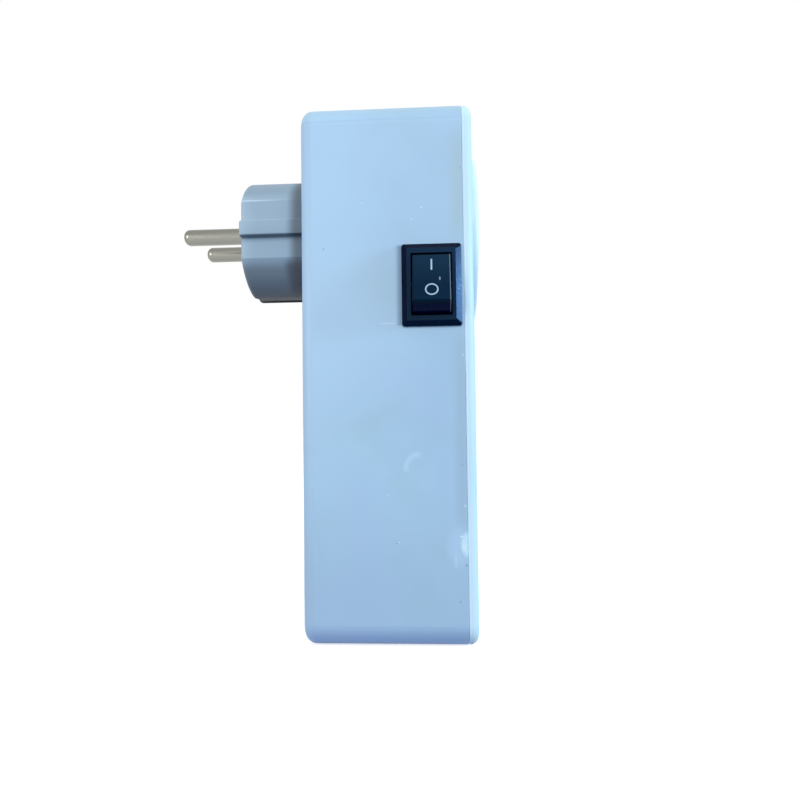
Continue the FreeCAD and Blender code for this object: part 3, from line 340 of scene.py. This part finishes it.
# Earth strap: nickel-plated spring strip, bent into a U and laid in the plug's grooves. It is
# drawn nearly black as painted shade for the dark underside of the plug, so that it only
# glints.
strap_nickel, tree, shader, place = new_material("nickel_strip_painted_dark", Metallic=1.0,
                                                 Roughness=0.5)
colour = mottle(tree, place, ("#1B1C20", "#26282D"), 4, detail=5.0)
tree.links.new(colour, shader.inputs["Base Color"])
grain(tree, place, shader, 0.3, 0.004)
finish(strap_nickel, "plug_earth_strap")


# Contacts and terminals: rolled brass and bronze strip, stamped and bent. It is a warm metal
# with a slightly tarnished, cloudy shine.
strip_brass, tree, shader, place = new_material("rolled_brass", Metallic=1.0, Roughness=0.32)
colour = mottle(tree, place, ("#B8954E", "#CBAA62"), 6, detail=5.0)
tree.links.new(colour, shader.inputs["Base Color"])
grain(tree, place, shader, 0.3, 0.004)
finish(strip_brass, "socket_contact_live", "socket_contact_neutral", "socket_earth_spring",
       "switch_contact_blade", "switch_terminal_common", "switch_terminal_load")


# Screws and the switch's spring: zinc-plated steel, cold-formed and wound. The plating is
# bright and faintly blue.
zinc_steel, tree, shader, place = new_material("zinc_plated_steel", Metallic=1.0, Roughness=0.3)
colour = mottle(tree, place, ("#A9AEB4", "#BFC4CA"), 2, detail=4.0)
tree.links.new(colour, shader.inputs["Base Color"])
finish(zinc_steel, "housing_screws", "plug_screws", "socket_base_screws", "board_screws",
       "switch_spring")


# Switch frame: black nylon, satin from the mould, snapped into the side. Under this light its
# black shows a cold blue sheen, its flat face carries a painted sheen that draws it a little
# lighter, and a few scratches catch the light on the right bevel.
frame_nylon, tree, shader, place = new_material("moulded_black_nylon", Roughness=0.22, IOR=1.5,
                                                Specular_IOR_Level=0.14,
                                                Specular_Tint=linear("#3A94FF"))
colour = mottle(tree, place, ("#000418", "#02081E"), 5)
# Painted sheen: the flat face is drawn a little lighter.
flat_face_sheen = stretch(tree, place, "Y", -40, -38.52, 0.04)
colour = mark(tree, colour, flat_face_sheen, 0.85, "#1B2C3A")
colour = mark(tree, colour, specks(tree, place, 3.0, 0.1, 0.15), 1.0, "#2C405C")
bevel_y = -37.6
for fleck_x, fleck_z, reach in ((18.15, 89.8, 0.4), (18.5, 90.6, 0.3), (18.45, 88.6, 0.22),
                                (18.6, 92.1, 0.2)):
    fleck = patch(tree, place, (fleck_x, bevel_y, fleck_z), (reach, 1, reach), 0.6)
    colour = mark(tree, colour, fleck, 0.4, "#7FB6DC")
tree.links.new(colour, shader.inputs["Base Color"])
grain(tree, place, shader, 0.25, 0.004)
finish(frame_nylon, "switch_case")


# Rocker: black nylon, polished by fingers, that tips on two stubs in the frame. Its sloping
# face carries a painted blue sheen, lighter towards the top, and its raised end a darker blue
# painted shade. Dust sits on it, a painted highlight runs along its right edge, and there is
# a fleck of pale paint beside the O.
rocker_nylon, tree, shader, place = new_material("polished_black_nylon", Roughness=0.26, IOR=1.5,
                                                 Specular_IOR_Level=0.11,
                                                 Specular_Tint=linear("#5CA8FF"))
colour = mottle(tree, place, ("#01030C", "#030713"), 4)
# Painted shade: the raised end is drawn a darker blue.
raised_end_shade = stretch(tree, place, "Z", 82.6, 85.2, 0.5)
colour = mark(tree, colour, raised_end_shade, 0.8, "#000030")
# Painted sheen on the sloping face, lighter towards its top.
outer_side = stretch(tree, place, "Y", -43, -38.2, 0.3)
sloping_face_sheen = stretch(tree, place, "Z", 85.6, 99, 0.1, outer_side)
colour = mark(tree, colour, sloping_face_sheen, 0.7, "#031B2C")
upper_sheen = stretch(tree, place, "Z", 93, 105, 5, outer_side)
colour = mark(tree, colour, upper_sheen, 0.8, "#132C3E")
colour = mark(tree, colour, specks(tree, place, 2.6, 0.1, 0.2), 1.0, "#2A3F58")
# Painted highlight along the rocker's right edge.
above_frame = stretch(tree, place, "Y", -44, -38.9, 0.3)
right_edge_highlight = stretch(tree, place, "X", 15.86, 16.3, 0.06, above_frame)
colour = mark(tree, colour, right_edge_highlight, 0.5, "#8D98A8")
paint_fleck = patch(tree, place, (13.42, -41.2, 91.7), (0.25, 1.2, 0.62), 0.5)
colour = mark(tree, colour, paint_fleck, 0.9, "#8A9DA9")
tree.links.new(colour, shader.inputs["Base Color"])
grain(tree, place, shader, 0.25, 0.004)
finish(rocker_nylon, "switch_rocker")


# Signs on the rocker: I and O, printed with a pad in pale paint on its sloping face. The
# paint is matt, thin and a little uneven.
sign_paint, tree, shader, place = new_material("pale_pad_print", Roughness=0.5, IOR=1.5)
tree.links.new(mottle(tree, place, ("#94B2CA", "#A6C4DA"), 0.8), shader.inputs["Base Color"])

sign_x = 0.01141
sign_start_y = -0.048
bar_z = 0.09548
bar_width = 0.0004
bar_height = 0.0029
ring_z = 0.08891
ring_radius = 0.00165
ring_flatness = 0.92
ring_line = 0.00034
paint_film = 0.00004
rocker = nodes["switch_rocker"]


def print_on_rocker(sign, name):
    """Presses a flat sign onto the rocker's face and gives it its film of paint."""
    sign.name = name
    wrap = sign.modifiers.new("wrap", "SHRINKWRAP")
    wrap.target = rocker
    wrap.wrap_method = "PROJECT"
    wrap.use_project_y = True
    wrap.use_positive_direction = True
    wrap.use_negative_direction = False
    bpy.ops.object.modifier_apply(modifier=wrap.name)
    film = sign.modifiers.new("film", "SOLIDIFY")
    film.thickness = paint_film
    film.offset = 0.0
    bpy.ops.object.modifier_apply(modifier=film.name)
    sign.data.materials.clear()
    sign.data.materials.append(sign_paint)
    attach(sign, "rocker")


upright = (math.pi / 2, 0, 0)
bpy.ops.object.select_all(action="DESELECT")
bpy.ops.mesh.primitive_grid_add(x_subdivisions=2, y_subdivisions=10, size=1,
                                location=(sign_x, sign_start_y, bar_z), rotation=upright)
on_mark = bpy.context.object
on_mark.scale = (bar_width, bar_height, 1)
bpy.ops.object.transform_apply(location=True, rotation=True, scale=True)
print_on_rocker(on_mark, "on_mark")

bpy.ops.object.select_all(action="DESELECT")
bpy.ops.mesh.primitive_circle_add(vertices=64, radius=ring_radius, fill_type="NGON",
                                  location=(sign_x, sign_start_y, ring_z), rotation=upright)
off_mark = bpy.context.object
off_mark.scale = (1, ring_flatness, 1)
bpy.ops.object.transform_apply(location=True, rotation=True, scale=True)
bpy.ops.object.mode_set(mode="EDIT")
bpy.ops.mesh.select_all(action="SELECT")
bpy.ops.mesh.inset(thickness=ring_line)
bpy.ops.mesh.delete(type="FACE")
bpy.ops.object.mode_set(mode="OBJECT")
print_on_rocker(off_mark, "off_mark")


# Socket base and plunger: heat-resistant plastic, moulded unpigmented. They are a plain,
# slightly warm white and nearly matt.
inner_white, tree, shader, place = new_material("heat_resistant_white", Roughness=0.5, IOR=1.5)
tree.links.new(mottle(tree, place, ("#E2E2DC", "#EBEBE6"), 8), shader.inputs["Base Color"])
grain(tree, place, shader, 0.3, 0.006)
finish(inner_white, "socket_base", "switch_plunger")


# State lamps: tinted epoxy, cast with a domed nose that shows through the cover. They are
# glossy and deep in colour, with small sharp highlights.
for name, deep, light in (("led_green", "#178A35", "#38B552"),
                          ("led_yellow", "#C79A10", "#E8C132"),
                          ("led_red", "#A81812", "#D23A2C")):
    lamp_epoxy, tree, shader, place = new_material("tinted_epoxy_" + name[4:], Roughness=0.08,
                                                   IOR=1.54)
    tree.links.new(mottle(tree, place, (deep, light), 3), shader.inputs["Base Color"])
    finish(lamp_epoxy, name)


# Circuit board, the parts soldered to it and the wires: bought-in parts inside the box, in
# the colours that such parts have. Lacquer and sleeves shine a little, epoxy is matt, and
# glass is smooth.
for finish_name, colours, roughness, members in (
        ("solder_resist", ("#0D4A26", "#12582F"), 0.3, ("circuit_board",)),
        ("relay_case", ("#123A66", "#1A467A"), 0.3, ("relay",)),
        ("capacitor_box", ("#C9A21C", "#D8B22C"), 0.35, ("film_capacitor",)),
        ("capacitor_sleeve", ("#101114", "#1A1C20"), 0.4, ("electrolytic_capacitors",)),
        ("varistor_lacquer", ("#17407E", "#205096"), 0.35, ("varistor",)),
        ("moulded_epoxy", ("#0E0E0F", "#181819"), 0.5, ("control_chip", "diodes")),
        ("resistor_lacquer", ("#B7976A", "#C6A87C"), 0.45, ("resistors",)),
        ("fuse_tube", ("#C9CFCF", "#DADFDF"), 0.15, ("fuse",)),
        ("pvc_brown", ("#4A2A16", "#57331D"), 0.45,
         ("wire_plug_to_switch", "wire_switch_to_board", "wire_board_to_socket")),
        ("pvc_blue", ("#17479A", "#2054AB"), 0.45,
         ("wire_neutral_to_board", "wire_neutral_to_socket")),
        ("pvc_earth", ("#2F8A2C", "#C9C52C"), 0.45, ("wire_earth",))):
    part_finish, tree, shader, place = new_material(finish_name, Roughness=roughness, IOR=1.5)
    tree.links.new(mottle(tree, place, colours, 3), shader.inputs["Base Color"])
    grain(tree, place, shader, 0.3, 0.004)
    finish(part_finish, *members)


# Floor: plain, matt and pale. For the camera and for reflections it is white, and it keeps
# the box's soft shadow. For the light on the box it is a darker blue-grey, so that the box's
# foot isn't lit up from below.
bpy.ops.object.select_all(action="DESELECT")
bpy.ops.mesh.primitive_plane_add(size=8, location=(0, 0, 0))
floor = bpy.context.object
floor.name = "floor"
floor_paint, tree, shader, place = new_material("pale_floor", Roughness=0.9,
                                                Specular_IOR_Level=0.0,
                                                Emission_Color=(1, 1, 1, 1))
path = add_node(tree, "ShaderNodeLightPath")
seen = add_node(tree, "ShaderNodeMath",
                {0: path.outputs["Is Camera Ray"], 1: path.outputs["Is Glossy Ray"]},
                operation="MAXIMUM")
tone = add_node(tree, "ShaderNodeMix",
                {0: seen.outputs[0], 6: linear("#6C7A98"), 7: linear("#F4F4F4")},
                data_type="RGBA")
lift = add_node(tree, "ShaderNodeMath", {0: seen.outputs[0], 1: 0.62}, operation="MULTIPLY")
tree.links.new(tone.outputs[2], shader.inputs["Base Color"])
tree.links.new(lift.outputs[0], shader.inputs["Emission Strength"])
floor.data.materials.append(floor_paint)


# Room: pale and level from all sides. It is white for the camera, for reflections and through
# glass, and about half as strong for the light that it throws on the box.
world = bpy.data.worlds.new("pale_room")
bpy.context.scene.world = world
world.use_nodes = True
tree = world.node_tree
tree.nodes.clear()
path = add_node(tree, "ShaderNodeLightPath")
seen = add_node(tree, "ShaderNodeMath",
                {0: path.outputs["Is Camera Ray"], 1: path.outputs["Is Glossy Ray"]},
                operation="MAXIMUM")
seen = add_node(tree, "ShaderNodeMath",
                {0: seen.outputs[0], 1: path.outputs["Is Transmission Ray"]},
                operation="MAXIMUM")
level = add_node(tree, "ShaderNodeMapRange",
                 {"Value": seen.outputs[0], "To Min": 0.49, "To Max": 1.0})
room = add_node(tree, "ShaderNodeBackground",
                {"Color": (1, 1, 1, 1), "Strength": level.outputs[0]})
add_node(tree, "ShaderNodeOutputWorld", {"Surface": room.outputs[0]})


# Lamps: a large soft one over the camera, a weaker one from the left, and a cold window at
# the right that lights the cover's edge.
def soft_lamp(name, place, size, watts, colour=(1, 1, 1)):
    """A round lamp that faces the middle of the box."""
    lamp_data = bpy.data.lights.new(name, "AREA")
    lamp_data.shape = "DISK"
    lamp_data.size = size
    lamp_data.energy = watts
    lamp_data.color = colour
    lamp = bpy.data.objects.new(name, lamp_data)
    bpy.context.collection.objects.link(lamp)
    lamp.location = place
    aim = Vector((0, 0, 0.075)) - Vector(place)
    lamp.rotation_euler = aim.to_track_quat("-Z", "Y").to_euler()


soft_lamp("key", (0.12, -0.9, 0.62), 0.6, 4.0)
soft_lamp("fill", (-0.7, -0.75, 0.2), 0.5, 3.3)
soft_lamp("side_window", (1.05, -0.16, 0.3), 0.2, 8.0, (0.6, 0.92, 1.0))

bpy.context.scene.view_settings.view_transform = "Standard"
